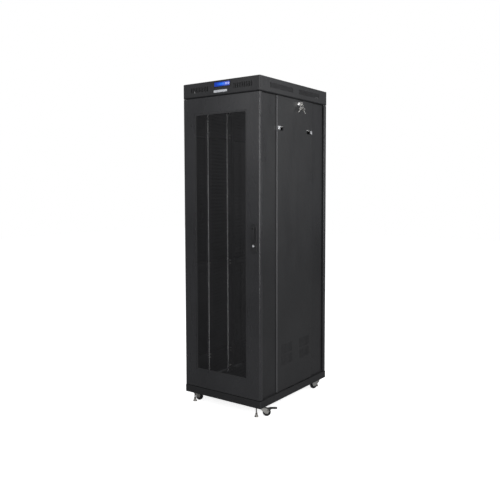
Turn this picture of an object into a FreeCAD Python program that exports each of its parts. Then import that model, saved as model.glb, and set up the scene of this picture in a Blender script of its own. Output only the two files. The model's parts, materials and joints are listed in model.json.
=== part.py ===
import FreeCAD, Part
import math
import os

# A free-standing 19 inch network server rack cabinet, 42 units tall, 600 mm wide and 800 mm deep.
# Millimetres. Origin at the centre of the footprint on the floor, +X to the right, +Y to the rear, +Z up.

# Overall sizes
WIDTH = 600.0
DEPTH = 800.0
FLOOR_GAP = 66.0  # floor to the underside of the base
BODY_HEIGHT = 1985.0  # underside of the base to the top of the roof
BASE_HEIGHT = 45.0
ROOF_HEIGHT = 85.0
TOP = FLOOR_GAP + BODY_HEIGHT
BASE_TOP = FLOOR_GAP + BASE_HEIGHT
ROOF_BOTTOM = TOP - ROOF_HEIGHT

# Sheet thicknesses and running clearances
FRAME_SHEET = 2.0
SKIN_SHEET = 1.5
PANEL_SHEET = 1.2
RUNNING = 0.06  # radial clearance of a shaft in its bore

# Base
BASE_BEAM = 58.0
BASE_CORNER_R = 6.0
BASE_LEG_H = 30.0
CORNER_PLATE = 150.0
CORNER_PLATE_T = 4.0

# Corner posts: side web, front web and inner lip
POST_X = 286.0  # outer face of the side web
POST_INSET = 36.0  # front web behind the front of the cabinet
POST_FRONT_W = 18.0
POST_SIDE_W = 169.0
POST_LIP = 26.0
POST_FOLD_R = 6.0
POST_TOP = ROOF_BOTTOM - 2.0

# Top frame
TOP_BEAM = 36.0
TOP_BEAM_H = 30.0
TOP_LIP_H = 22.0
BOSS_R = 8.0

# 19 inch mounting rails
UNIT = 44.45
UNITS = 42
RAIL_GAP = 450.0  # clear width between the rails
RAIL_HOLE_SPAN = 465.1
RAIL_FLANGE = 22.0
RAIL_RETURN = 60.0
RAIL_Z = BASE_TOP + 2.0
RAIL_HOLE = 9.5
RAIL_HOLE_Z = (6.35, 22.25, 38.1)  # hole centres within one unit
RAIL_FRONT_Y = -242.0
RAIL_REAR_Y = 40.0

# Depth bars that carry the rails
BAR_Z = (268.0, 885.0, 1750.0)
BAR_HALF_H = 20.0
BAR_HALF_LENGTH = 337.5

# Doors
DOOR_HALF_W = 298.0
DOOR_T = 30.0
DOOR_Z0 = 115.0
DOOR_Z1 = 1956.0
DOOR_EDGE_R = 9.0
DOOR_HEM_R = 4.0
DOOR_LIP = 14.0
WINDOW_HALF_W = 203.0
WINDOW_Z0 = 230.0
WINDOW_Z1 = 1857.0
WINDOW_RETURN = 8.0
MESH_T = 1.2
MESH_SETBACK = 2.5
HINGE_X = 284.0
HINGE_INSET = 12.0
HINGE_PIN_R = 4.0
HINGE_PIN_L = 20.0

# Swing handle on the front door
HANDLE_X = 256.0
HANDLE_Z0 = 1008.0
HANDLE_Z1 = 1182.0
HANDLE_HALF_W = 21.0
HANDLE_BASE_T = 6.0
PIVOT_Z = 1157.0
BOSS_HEAD_R = 12.0
SPINDLE_R = 6.0
LEVER_HALF_W = 12.0
LEVER_T = 10.6
LEVER_TIP_Z = 1074.0
LEVER_GAP = 0.6
LEVER_TIP_R = 5.0
LEVER_PIN_R = 2.0
LEVER_PIN_HALF = 9.0
LEVER_TONGUE_R = 4.2
LEVER_TONGUE_HALF = 4.5
PLATE_CORNER_R = 10.0
KEYWAY_Z = 1048.0
BARREL_R = 11.0
PLUG_R = 8.0
CAM_REACH = 26.0
CAM_T = 3.0
CAM_HUB_R = 9.0
CAM_HALF_H = 7.0
CAM_Y = -DEPTH / 2 + POST_INSET + FRAME_SHEET + 2.0

# Rear door lock
REAR_LOCK_Z = 1030.0
REAR_LOCK_X = 256.0
REAR_BARREL_R = 10.0
REAR_PLUG_R = 7.0
REAR_HEAD_R = 14.0
REAR_HEAD_T = 3.0
REAR_BARREL_L = 30.0

# Side panels
PANEL_X = 294.0  # outer face
PANEL_INNER_X = POST_X + 0.8
PANEL_HALF_D = 210.0
PANEL_Z0 = 117.0
PANEL_Z1 = 1956.0
PANEL_EDGE_R = 5.0
VENT_PITCH = 14.5
VENT_W = 5.0
PANEL_VENT_COUNT = 9
PANEL_VENT_Y = (-98.0, 118.0)  # centre of each group
PANEL_VENT_ROWS = ((276.0, 337.0), (347.0, 408.0))
PANEL_LOCK_Z = 1930.0
PANEL_LOCK_Y = 40.0
PANEL_BARREL_R = 9.0
PANEL_HEAD_R = 12.0
PANEL_HEAD_T = 2.5
PANEL_PLUG_R = 6.0
PANEL_PLUG_OUT = 3.0
PANEL_BARREL_X0 = POST_X - 1.0
PANEL_TONGUE_X0 = POST_X - 5.0
PANEL_TONGUE_T = 2.5
PANEL_TONGUE_REACH = 26.0
PANEL_PIVOT_R = 2.0  # the round bead along the foot of the panel, which it tilts about

# Sliding latches, from the middle of the panel, drawn back
LATCH_Z = 1760.0
LATCH_SLOT = (141.0, 204.0)
LATCH_SLOT_RIB = (145.5, 148.5)
LATCH_SLOT_HALF_H = 12.5
LATCH_LINK = (181.0, 188.0)
LATCH_TAB = (183.0, 203.0)
LATCH_TAB_T = 4.0
LATCH_TAB_HALF_H = 10.0
LATCH_TAB_GAP = 0.4
LATCH_BOLT_TIP = 194.0
LATCH_BOLT_HALF_H = 3.0
LATCH_BOLT_X = (POST_X + 1.6, POST_X + 4.0)
KEEPER_X = (POST_X + 4.5, POST_X + 6.0)
KEEPER_Y = (195.5, 206.5)
KEEPER_HALF_H = 12.0

# Roof
ROOF_CORNER_R = 11.0
ROOF_EDGE_R = 3.0
ROOF_VENT_H = 30.0
ROOF_VENT_Z = TOP - 44.0
ROOF_VENT_PITCH = 13.0
ROOF_FRONT_VENT_X = (-162.0, 175.0)
ROOF_FRONT_VENT_COUNT = 11
ROOF_SIDE_VENT_Y = (-165.0, 165.0)
ROOF_SIDE_VENT_COUNT = 20
CABLE_ENTRY_HALF_W = 150.0
CABLE_ENTRY_HALF_D = 40.0
FLOOR_ENTRY_Y = 230.0
ROOF_ENTRY_Y = 300.0
COVER_OVERLAP = 12.0

# Fan under the middle of the roof
FAN_HALF = 60.0
FAN_T = 38.0
FAN_BORE_R = 58.0
FAN_TIP_R = 56.0
FAN_HUB_R = 22.0
FAN_SHAFT_R = 3.0
GUARD_RINGS = (16.0, 27.0, 38.0, 49.0)
GUARD_SLOT = 7.0
GUARD_SPOKE_HALF = 3.0

# Display in the roof's front
DISPLAY_X = 19.0
DISPLAY_Z = TOP - 25.0
DISPLAY_HALF_W = 65.0
DISPLAY_HALF_H = 17.5
GLASS_HALF_W = 60.0
GLASS_HALF_H = 13.0
GLASS_GAP = 0.2
BEZEL_T = 2.0
BEZEL_OVERLAP = 4.0
HOUSING_DEPTH = 22.0
SMALL_CORNER_R = 3.0
BADGE_X = 6.0
BADGE_Z = TOP - 66.0
BADGE_HALF_W = 52.0
BADGE_HALF_H = 7.5

# Levelling feet
FOOT_X = 247.5
FOOT_Y = 367.0
STEM_R = 4.0
PAD_R = 13.0
PAD_H = 16.0
HEX_AF = 13.0
STEM_GAP = 0.5

# Casters
CASTER_X = 267.0
CASTER_Y = 334.0
CASTER_TRAIL = 28.0
WHEEL_R = 25.0
WHEEL_HALF_W = 10.0
AXLE_R = 4.0
KINGPIN_R = 5.0
LEG_GAP = 11.5
LEG_T = 2.0
PEDAL_AXIS = (38.0, 40.0)  # along the trail and above the floor
PEDAL_PIN_R = 3.0
PEDAL_REACH = 92.0
PEDAL_T = 2.5
EAR_T = 1.5
EAR_GAP = 0.5
CASTERS = {
    "front_right": (1, -1, 38.0),  # side, end, and the angle that the wheel trails at
    "front_left": (-1, -1, 5.0),
    "rear_right": (1, 1, -115.0),
    "rear_left": (-1, 1, 205.0),
}
BRAKED = ("front_right", "front_left")

# Spare keys on the right side panel's lock
KEY_T = 2.0
KEY_BOW_R = 12.0
KEY_HOLE_R = 3.5
KEY_HOLE_INSET = 5.0
KEY_SHANK_SHORT = 10.0  # what shows of the key in the lock, and what is in its slit
KEY_SHANK_LONG = 26.0
KEY_SHANK_HALF_H = 3.5
KEY_DEPTH = 2.8  # how far the key goes behind the panel's face
KEY_SLIT_HALF = 1.2
SPARE_KEY_LEAN = (40.0, -45.0)
RING_R = 13.0
RING_WIRE_R = 0.9
RING_SEAT = KEY_HOLE_R - RING_WIRE_R - 0.1  # from the wire to the middle of a key's hole

FRONT_Y = -DEPTH / 2
X_AXIS = FreeCAD.Vector(1, 0, 0)
Y_AXIS = FreeCAD.Vector(0, 1, 0)
Z_AXIS = FreeCAD.Vector(0, 0, 1)
ORIGIN = FreeCAD.Vector(0, 0, 0)


def block(x0, x1, y0, y1, z0, z1):
    """A box between two corners, given in any order."""
    low = FreeCAD.Vector(min(x0, x1), min(y0, y1), min(z0, z1))
    return Part.makeBox(abs(x1 - x0), abs(y1 - y0), abs(z1 - z0), low)


def plaque(x, z, half_w, half_h, y0, y1):
    """A box that stands upright about a point of the front or rear, between two levels of y."""
    return block(x - half_w, x + half_w, y0, y1, z - half_h, z + half_h)


def slab(half_x, half_y, z0, z1):
    """A box centred on the cabinet's axis."""
    return block(-half_x, half_x, -half_y, half_y, z0, z1)


def rod(radius, start, end):
    """A round bar between two points."""
    a = FreeCAD.Vector(*start)
    b = FreeCAD.Vector(*end)
    return Part.makeCylinder(radius, (b - a).Length, a, b - a)


def fuse(shapes):
    """One solid out of several that touch."""
    return shapes[0].multiFuse(shapes[1:]).removeSplitter()


def group(shapes):
    return Part.makeCompound(shapes)


def edges_along(shape, direction):
    """The straight edges that run along a direction."""
    found = []
    for edge in shape.Edges:
        ends = edge.Vertexes
        if len(ends) == 2:
            run = ends[1].Point - ends[0].Point
            if run.Length > 1e-6 and run.cross(direction).Length < 1e-6 * run.Length:
                found.append(edge)
    return found


def edges_at(shape, direction, axis, level):
    """Those of the edges along a direction that lie at one level of another axis."""
    return [e for e in edges_along(shape, direction) if abs(getattr(e.Vertexes[0], axis) - level) < 1e-6]


def ring(half_x, half_y, wall, z0, z1):
    """A rectangular tube about the cabinet's axis, with its wall inside the given half sizes."""
    inside = slab(half_x - wall, half_y - wall, z0 - 1, z1 + 1)
    return slab(half_x, half_y, z0, z1).cut(inside)


def prism(points, direction):
    """A solid swept from a closed outline."""
    outline = [FreeCAD.Vector(*p) for p in points]
    face = Part.Face(Part.makePolygon(outline + outline[:1]))
    return face.extrude(FreeCAD.Vector(*direction))


def hexagon(across_flats, x, y, z0, z1):
    """A hexagonal bar, as of a nut or a bolt head, standing upright."""
    radius = across_flats / math.sqrt(3)
    points = []
    for i in range(6):
        a = math.radians(60 * i)
        points.append((x + radius * math.cos(a), y + radius * math.sin(a), z0))
    return prism(points, (0, 0, z1 - z0))


def turned(shape, degrees):
    """The same shape turned about the cabinet's axis."""
    copy = shape.copy()
    copy.rotate(ORIGIN, Z_AXIS, degrees)
    return copy


def mirrored(shape, side, end):
    """The same shape on the other side (side -1) or at the other end (end -1)."""
    copy = shape
    if side < 0:
        copy = copy.mirror(ORIGIN, X_AXIS)
    if end < 0:
        copy = copy.mirror(ORIGIN, Y_AXIS)
    return copy


def slots(centre, count, pitch):
    """The middles of a row of vent slots."""
    return [centre + (i - (count - 1) / 2) * pitch for i in range(count)]


def base_frame():
    half_x = WIDTH / 2
    half_y = DEPTH / 2
    t = FRAME_SHEET
    body = slab(half_x, half_y, FLOOR_GAP, BASE_TOP)
    body = body.makeFillet(BASE_CORNER_R, edges_along(body, Z_AXIS))
    inside = slab(half_x - t, half_y - t, FLOOR_GAP - 1, BASE_TOP - t)
    inside = inside.makeFillet(BASE_CORNER_R - t, edges_along(inside, Z_AXIS))
    body = body.cut(inside)
    body = body.cut(slab(half_x - BASE_BEAM, half_y - BASE_BEAM, BASE_TOP - 5, BASE_TOP + 1))
    leg = ring(half_x - BASE_BEAM + t, half_y - BASE_BEAM + t, t, BASE_TOP - BASE_LEG_H, BASE_TOP)
    pieces = [body, leg]
    plate_top = FLOOR_GAP + CORNER_PLATE_T
    for side in (-1, 1):
        for end in (-1, 1):
            x1 = side * half_x
            y1 = end * half_y
            plate = block(x1 - side * CORNER_PLATE, x1, y1 - end * CORNER_PLATE, y1, FLOOR_GAP, plate_top)
            x = side * FOOT_X
            y = end * FOOT_Y
            stem = rod(STEM_R + STEM_GAP, (x, y, FLOOR_GAP - 1), (x, y, plate_top + 1))
            pieces.append(plate.common(inside).cut(stem))
    return fuse(pieces)


def cover_plate(y, z0):
    """A flat blanking plate over a cable entry."""
    half_x = CABLE_ENTRY_HALF_W + COVER_OVERLAP
    half_y = CABLE_ENTRY_HALF_D + COVER_OVERLAP
    plate = block(-half_x, half_x, y - half_y, y + half_y, z0, z0 + SKIN_SHEET)
    return plate.makeFillet(5.0, edges_along(plate, Z_AXIS))


def cable_cut(y, z0, z1):
    half_x = CABLE_ENTRY_HALF_W
    half_y = CABLE_ENTRY_HALF_D
    return block(-half_x, half_x, y - half_y, y + half_y, z0, z1)


def floor_panel():
    panel = slab(WIDTH / 2 - BASE_BEAM + 8, DEPTH / 2 - BASE_BEAM + 8, BASE_TOP, BASE_TOP + SKIN_SHEET)
    return panel.cut(cable_cut(FLOOR_ENTRY_Y, BASE_TOP - 1, BASE_TOP + 5))


def cable_entry_covers():
    return group([
        cover_plate(FLOOR_ENTRY_Y, BASE_TOP + SKIN_SHEET),
        cover_plate(ROOF_ENTRY_Y, TOP),
    ])


def corner_post(side, end):
    """A folded sheet post. It is drawn at the rear right and mirrored to its corner."""
    t = FRAME_SHEET
    x0 = POST_X - POST_FRONT_W
    y1 = DEPTH / 2 - POST_INSET
    y0 = y1 - POST_SIDE_W
    webs = block(x0, POST_X, y0, y1, BASE_TOP, POST_TOP)
    fold = [e for e in edges_at(webs, Z_AXIS, "X", POST_X) if e.Vertexes[0].Y > y0 + 1]
    webs = webs.makeFillet(POST_FOLD_R, fold)
    hollow = block(x0 - 1, POST_X - t, y0 - 1, y1 - t, BASE_TOP - 1, POST_TOP + 1)
    fold = [e for e in edges_at(hollow, Z_AXIS, "X", POST_X - t) if e.Vertexes[0].Y > y0 + 1]
    webs = webs.cut(hollow.makeFillet(POST_FOLD_R - t, fold))
    lip = block(x0, x0 + t, y1 - POST_LIP, y1, BASE_TOP, POST_TOP)
    # A Z-shaped keeper that the side panel's sliding latch goes under
    wall = KEEPER_X[1] - KEEPER_X[0]
    low = LATCH_Z - KEEPER_HALF_H
    high = LATCH_Z + KEEPER_HALF_H
    stand = block(POST_X, KEEPER_X[1], KEEPER_Y[1] - wall, KEEPER_Y[1], low, high)
    catch = block(KEEPER_X[0], KEEPER_X[1], KEEPER_Y[0], KEEPER_Y[1], low, high)
    post = fuse([webs, lip, stand, catch])
    # Windows in the lip where a lock's tongue turns behind the end web
    for z in (PIVOT_Z, REAR_LOCK_Z):
        window = block(x0 - 1, x0 + t, y1 - POST_LIP + 6, y1 - t, z - CAM_REACH - 4, z + CAM_HALF_H + 5)
        post = post.cut(window)
    return mirrored(post, side, end)


def top_frame():
    """The welded ring that joins the posts, with lips behind the door and panel edges."""
    t = FRAME_SHEET
    half_x = POST_X
    half_y = DEPTH / 2 - POST_INSET
    z0 = POST_TOP
    z1 = POST_TOP + TOP_BEAM_H
    body = slab(half_x, half_y, z0, z1).cut(slab(half_x - TOP_BEAM, half_y - TOP_BEAM, z0 - 1, z1 + 1))
    channel = ring(half_x - t, half_y - t, TOP_BEAM - 2 * t, z0 - 1, z1 - t)
    pieces = [body.cut(channel)]
    lip_y = half_y - POST_SIDE_W
    lip_x = half_x - POST_FRONT_W
    for sign in (-1, 1):
        x1 = sign * half_x
        y1 = sign * half_y
        pieces.append(block(x1 - sign * t, x1, -lip_y, lip_y, z0 - TOP_LIP_H, z0 + 5))
        pieces.append(block(-lip_x, lip_x, y1 - sign * t, y1, z0 - TOP_LIP_H, z0 + 5))
        for end in (-1, 1):
            x = sign * (half_x - TOP_BEAM / 2)
            y = end * (half_y - TOP_BEAM / 2)
            pieces.append(rod(BOSS_R, (x, y, z1 - t), (x, y, TOP - SKIN_SHEET)))
        # An ear over each door's upper hinge pin: front left and rear right
        ear_y = sign * (DEPTH / 2 - HINGE_INSET)
        ear_x0 = sign * (HINGE_X - 12)
        ear_x1 = sign * (HINGE_X + 10)
        ear = block(ear_x0, ear_x1, y1, ear_y + sign * 9, DOOR_Z1 + 6, DOOR_Z1 + 10)
        neck = block(ear_x0, sign * half_x, y1, y1 + sign * t, DOOR_Z1 + 6, z0 + 15)
        pieces.append(ear)
        pieces.append(neck)
    return fuse(pieces)


def ring_slot(radius, z0, z1):
    """One ring of the fan guard, broken by four spokes."""
    outer = rod(radius + GUARD_SLOT / 2, (0, 0, z0), (0, 0, z1))
    slot = outer.cut(rod(radius - GUARD_SLOT / 2, (0, 0, z0 - 1), (0, 0, z1 + 1)))
    far = radius + GUARD_SLOT
    slot = slot.cut(block(-far, far, -GUARD_SPOKE_HALF, GUARD_SPOKE_HALF, z0, z1))
    return slot.cut(block(-GUARD_SPOKE_HALF, GUARD_SPOKE_HALF, -far, far, z0, z1))


def roof_cap():
    t = SKIN_SHEET
    half_x = WIDTH / 2
    half_y = DEPTH / 2
    body = slab(half_x, half_y, ROOF_BOTTOM, TOP)
    body = body.makeFillet(ROOF_CORNER_R, edges_along(body, Z_AXIS))
    top_edges = [e for e in body.Edges if all(abs(v.Z - TOP) < 1e-6 for v in e.Vertexes)]
    body = body.makeFillet(ROOF_EDGE_R, top_edges)
    inside = slab(half_x - t, half_y - t, ROOF_BOTTOM - 1, TOP - t)
    inside = inside.makeFillet(ROOF_CORNER_R - t, edges_along(inside, Z_AXIS))
    cuts = [inside]
    half = VENT_W / 2
    z0 = ROOF_VENT_Z - ROOF_VENT_H / 2
    z1 = ROOF_VENT_Z + ROOF_VENT_H / 2
    for centre in ROOF_FRONT_VENT_X:
        for x in slots(centre, ROOF_FRONT_VENT_COUNT, ROOF_VENT_PITCH):
            for end in (-1, 1):
                cuts.append(block(x - half, x + half, end * (half_y - 5), end * (half_y + 1), z0, z1))
    for centre in ROOF_SIDE_VENT_Y:
        for y in slots(centre, ROOF_SIDE_VENT_COUNT, ROOF_VENT_PITCH):
            for side in (-1, 1):
                cuts.append(block(side * (half_x - 5), side * (half_x + 1), y - half, y + half, z0, z1))
    cuts.append(cable_cut(ROOF_ENTRY_Y, TOP - 5, TOP + 1))
    for radius in GUARD_RINGS:
        cuts.append(ring_slot(radius, TOP - 5, TOP + 1))
    half_w = DISPLAY_HALF_W - BEZEL_OVERLAP
    half_h = DISPLAY_HALF_H - BEZEL_OVERLAP
    cuts.append(plaque(DISPLAY_X, DISPLAY_Z, half_w, half_h, -half_y - 1, -half_y + 5))
    return body.cut(group(cuts))


def display_bezel():
    """The display's frame and the housing behind it, in one piece."""
    y = FRONT_Y
    flange = plaque(DISPLAY_X, DISPLAY_Z, DISPLAY_HALF_W, DISPLAY_HALF_H, y - BEZEL_T, y)
    flange = flange.makeFillet(SMALL_CORNER_R, edges_along(flange, Y_AXIS))
    half_w = DISPLAY_HALF_W - BEZEL_OVERLAP - GLASS_GAP
    half_h = DISPLAY_HALF_H - BEZEL_OVERLAP - GLASS_GAP
    housing = plaque(DISPLAY_X, DISPLAY_Z, half_w, half_h, y, y + HOUSING_DEPTH)
    seat = plaque(DISPLAY_X, DISPLAY_Z, GLASS_HALF_W, GLASS_HALF_H, y - 3, y + SKIN_SHEET)
    return fuse([flange, housing]).cut(seat)


def display_window():
    half_w = GLASS_HALF_W - GLASS_GAP
    half_h = GLASS_HALF_H - GLASS_GAP
    return plaque(DISPLAY_X, DISPLAY_Z, half_w, half_h, FRONT_Y - BEZEL_T + 0.4, FRONT_Y + SKIN_SHEET)


def badge_plate():
    plate = plaque(BADGE_X, BADGE_Z, BADGE_HALF_W, BADGE_HALF_H, FRONT_Y - SKIN_SHEET, FRONT_Y)
    return plate.makeFillet(SMALL_CORNER_R, edges_along(plate, Y_AXIS))


def fan_frame():
    z1 = TOP - SKIN_SHEET
    z0 = z1 - FAN_T
    body = slab(FAN_HALF, FAN_HALF, z0, z1)
    body = body.makeFillet(5.0, edges_along(body, Z_AXIS))
    body = body.cut(rod(FAN_BORE_R, (0, 0, z0 - 1), (0, 0, z1 + 1)))
    stator = rod(FAN_HUB_R, (0, 0, z0), (0, 0, z0 + 5))
    arm = block(-FAN_BORE_R - 0.5, FAN_BORE_R + 0.5, -3.0, 3.0, z0, z0 + 4)
    cross = block(-3.0, 3.0, -FAN_BORE_R - 0.5, FAN_BORE_R + 0.5, z0, z0 + 4)
    shaft = rod(FAN_SHAFT_R, (0, 0, z0 + 5), (0, 0, z1 - 6))
    return fuse([body, arm, cross, stator, shaft])


def fan_impeller():
    z1 = TOP - SKIN_SHEET - 3
    z0 = TOP - SKIN_SHEET - FAN_T + 8
    pieces = [rod(FAN_HUB_R, (0, 0, z0), (0, 0, z1))]
    for i in range(7):
        blade = prism([(FAN_HUB_R - 2, -9, z0 + 3), (FAN_TIP_R - 4, -14, z0 + 2),
                       (FAN_TIP_R - 4, -11.5, z0 + 2), (FAN_HUB_R - 2, -6.5, z0 + 3)], (0, 20, 20))
        blade = blade.common(rod(FAN_TIP_R, (0, 0, z0), (0, 0, z1)))
        pieces.append(turned(blade, i * 360.0 / 7))
    return fuse(pieces).cut(rod(FAN_SHAFT_R + RUNNING, (0, 0, z0 - 1), (0, 0, z1 - 2)))


def mounting_rail(side, y, facing):
    """An L-shaped rail with three square holes a unit. facing -1 looks to the front, 1 to the rear."""
    t = FRAME_SHEET
    z1 = RAIL_Z + UNITS * UNIT
    x0 = RAIL_GAP / 2
    x1 = x0 + RAIL_FLANGE
    outline = [(x0, RAIL_Z), (x1, RAIL_Z), (x1, z1), (x0, z1)]
    wires = [Part.makePolygon([FreeCAD.Vector(side * x, y, z) for x, z in outline + outline[:1]])]
    half = RAIL_HOLE / 2
    for unit in range(UNITS):
        for hole in RAIL_HOLE_Z:
            z = RAIL_Z + unit * UNIT + hole
            x = RAIL_HOLE_SPAN / 2
            corners = [(x - half, z - half), (x + half, z - half), (x + half, z + half), (x - half, z + half)]
            wires.append(Part.makePolygon([FreeCAD.Vector(side * a, y, b) for a, b in corners + corners[:1]]))
    flange = Part.makeFace(wires, "Part::FaceMakerBullseye")
    flange = flange.extrude(FreeCAD.Vector(0, -facing * t, 0))
    web = block(side * (x1 - t), side * x1, y, y - facing * RAIL_RETURN, RAIL_Z, z1)
    return fuse([web, flange])


def depth_bars():
    """Six channels, three on each side, that run from post to post and carry the rails."""
    t = FRAME_SHEET
    x0 = RAIL_GAP / 2 + RAIL_FLANGE
    x1 = POST_X - t
    y1 = BAR_HALF_LENGTH
    h = BAR_HALF_H
    bars = []
    for side in (-1, 1):
        for z in BAR_Z:
            outer = block(side * x0, side * x1, -y1, y1, z - h, z + h)
            inner = block(side * (x0 + t), side * (x1 + 1), -y1 - 1, y1 + 1, z - h + t, z + h - t)
            bars.append(outer.cut(inner))
    return group(bars)


def frame_bolts():
    """Hexagon-headed screws that hold the rails to the depth bars, two at each crossing."""
    bolts = []
    x = RAIL_GAP / 2 + RAIL_FLANGE - FRAME_SHEET
    for side in (-1, 1):
        for y in (RAIL_FRONT_Y + RAIL_RETURN / 2, RAIL_REAR_Y - RAIL_RETURN / 2):
            for z in BAR_Z:
                for offset in (-10.0, 10.0):
                    head = hexagon(10.0, 0, 0, 0, 5.0)
                    head.rotate(ORIGIN, Y_AXIS, -90 * side)
                    head.translate(FreeCAD.Vector(side * x, y, z + offset))
                    bolts.append(head)
    return group(bolts)


def door_hinge_pins():
    pins = []
    for sign in (-1, 1):
        x = sign * HINGE_X
        y = sign * (DEPTH / 2 - HINGE_INSET)
        pins.append(rod(HINGE_PIN_R, (x, y, BASE_TOP), (x, y, BASE_TOP + HINGE_PIN_L)))
        pins.append(rod(HINGE_PIN_R, (x, y, DOOR_Z1 + 6 - HINGE_PIN_L), (x, y, DOOR_Z1 + 6)))
    return group(pins)


def door_frame(holes):
    """A folded door pan with a window, drawn as the front door. holes are (x, z, radius) in its face."""
    t = SKIN_SHEET
    w = DOOR_HALF_W
    back = FRONT_Y + DOOR_T
    pan = block(-w, w, FRONT_Y, back, DOOR_Z0, DOOR_Z1)
    pan = pan.makeFillet(DOOR_EDGE_R, edges_at(pan, Z_AXIS, "Y", FRONT_Y))
    pan = pan.makeFillet(DOOR_HEM_R, edges_at(pan, Z_AXIS, "Y", back))
    inside = block(-w + t, w - t, FRONT_Y + t, back - t, DOOR_Z0 + t, DOOR_Z1 - t)
    inside = inside.makeFillet(DOOR_EDGE_R - t, edges_at(inside, Z_AXIS, "Y", FRONT_Y + t))
    inside = inside.makeFillet(DOOR_HEM_R - t, edges_at(inside, Z_AXIS, "Y", back - t))
    lip = DOOR_LIP
    opening = block(-w + lip, w - lip, back - 5, back + 1, DOOR_Z0 + lip, DOOR_Z1 - lip)
    x = WINDOW_HALF_W
    window = block(-x, x, FRONT_Y - 1, back, WINDOW_Z0, WINDOW_Z1)
    y1 = FRONT_Y + WINDOW_RETURN
    rim = block(-x - t, x + t, FRONT_Y + t / 2, y1, WINDOW_Z0 - t, WINDOW_Z1 + t)
    pan = fuse([pan.cut(group([inside, opening])).cut(window), rim.cut(window)])
    hinge_y = FRONT_Y + HINGE_INSET
    bore = HINGE_PIN_R + RUNNING
    cuts = [
        rod(bore, (-HINGE_X, hinge_y, DOOR_Z0 - 1), (-HINGE_X, hinge_y, DOOR_Z0 + 5)),
        rod(bore, (-HINGE_X, hinge_y, DOOR_Z1 - 5), (-HINGE_X, hinge_y, DOOR_Z1 + 1)),
    ]
    for hole_x, z, radius in holes:
        cuts.append(rod(radius, (hole_x, FRONT_Y - 1, z), (hole_x, FRONT_Y + 5, z)))
    return pan.cut(group(cuts))


def door_mesh():
    """The perforated sheet in the door's window, as a plain sheet."""
    y = FRONT_Y + MESH_SETBACK
    return block(-WINDOW_HALF_W, WINDOW_HALF_W, y, y + MESH_T, WINDOW_Z0, WINDOW_Z1)


def handle_base():
    """The swing handle's plate on the door, with the lock's barrel."""
    y0 = FRONT_Y - HANDLE_BASE_T
    plate = block(HANDLE_X - HANDLE_HALF_W, HANDLE_X + HANDLE_HALF_W, y0, FRONT_Y, HANDLE_Z0, HANDLE_Z1)
    plate = plate.makeFillet(PLATE_CORNER_R, edges_along(plate, Y_AXIS))
    rim = [e for e in plate.Edges if all(abs(v.Y - y0) < 1e-6 for v in e.Vertexes)]
    plate = plate.makeFillet(2.0, rim)
    barrel = rod(BARREL_R, (HANDLE_X, y0 - 2, KEYWAY_Z), (HANDLE_X, FRONT_Y + 18, KEYWAY_Z))
    body = fuse([plate, barrel])
    body = body.cut(rod(PLUG_R + RUNNING, (HANDLE_X, y0 - 3, KEYWAY_Z), (HANDLE_X, FRONT_Y + 14, KEYWAY_Z)))
    return body.cut(rod(BOSS_HEAD_R + RUNNING, (HANDLE_X, y0 - 1, PIVOT_Z), (HANDLE_X, FRONT_Y + 1, PIVOT_Z)))


def lever_axis_y():
    """The level, in front of the door, of the pin that the lever lifts about."""
    return FRONT_Y - HANDLE_BASE_T - LEVER_GAP - LEVER_T / 2


def handle_boss():
    """The part that turns in the handle's plate and carries the lever in front and the cam behind."""
    y0 = FRONT_Y - HANDLE_BASE_T
    y1 = FRONT_Y + DOOR_T
    axis_y = lever_axis_y()
    x = HANDLE_X
    half = LEVER_TONGUE_HALF
    head = rod(BOSS_HEAD_R, (x, y0, PIVOT_Z), (x, y1, PIVOT_Z))
    spindle = rod(SPINDLE_R, (x, y1, PIVOT_Z), (x, CAM_Y + CAM_T + 2, PIVOT_Z))
    tongue = rod(LEVER_TONGUE_R, (x - half, axis_y, PIVOT_Z), (x + half, axis_y, PIVOT_Z))
    neck = plaque(x, PIVOT_Z, half, LEVER_TONGUE_R - 0.2, axis_y, y0 + 1)
    pin = rod(LEVER_PIN_R, (x - LEVER_PIN_HALF, axis_y, PIVOT_Z), (x + LEVER_PIN_HALF, axis_y, PIVOT_Z))
    return fuse([head, spindle, neck, tongue, pin])


def handle_lever():
    """The lever: a bar that is round about its pin at the top and thins towards its tip."""
    axis_y = lever_axis_y()
    y_back = axis_y + LEVER_T / 2
    y_front = axis_y - LEVER_T / 2
    x0 = HANDLE_X - LEVER_HALF_W
    x1 = HANDLE_X + LEVER_HALF_W
    profile = [
        (x0, y_back, LEVER_TIP_Z), (x0, y_back, PIVOT_Z), (x0, y_front, PIVOT_Z),
        (x0, y_front, PIVOT_Z - 40), (x0, y_front + 3, LEVER_TIP_Z),
    ]
    bar = prism(profile, (x1 - x0, 0, 0))
    crown = rod(LEVER_T / 2, (x0, axis_y, PIVOT_Z), (x1, axis_y, PIVOT_Z))
    body = fuse([bar, crown])
    half = LEVER_TONGUE_HALF + 0.3
    slot = block(HANDLE_X - half, HANDLE_X + half, y_front - 1, y_back + 1, PIVOT_Z - 8, PIVOT_Z + 10)
    reach = LEVER_PIN_HALF + 0.3
    ends = [(HANDLE_X - reach, axis_y, PIVOT_Z), (HANDLE_X + reach, axis_y, PIVOT_Z)]
    bore = rod(LEVER_PIN_R + RUNNING, *ends)
    body = body.cut(slot).cut(bore)
    return body.makeFillet(LEVER_TIP_R, edges_at(body, Y_AXIS, "Z", LEVER_TIP_Z))


def cam(x, z):
    """A latch tongue on the end of a lock's spindle, reaching in +X behind the post."""
    hub = rod(CAM_HUB_R, (x, CAM_Y, z), (x, CAM_Y + CAM_T, z))
    tongue = block(x, x + CAM_REACH, CAM_Y, CAM_Y + CAM_T, z - CAM_HALF_H, z + CAM_HALF_H)
    return fuse([hub, tongue])


def handle_cam():
    spindle = rod(SPINDLE_R, (HANDLE_X, CAM_Y - 1, PIVOT_Z), (HANDLE_X, CAM_Y + CAM_T + 1, PIVOT_Z))
    return cam(HANDLE_X, PIVOT_Z).cut(spindle)


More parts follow.
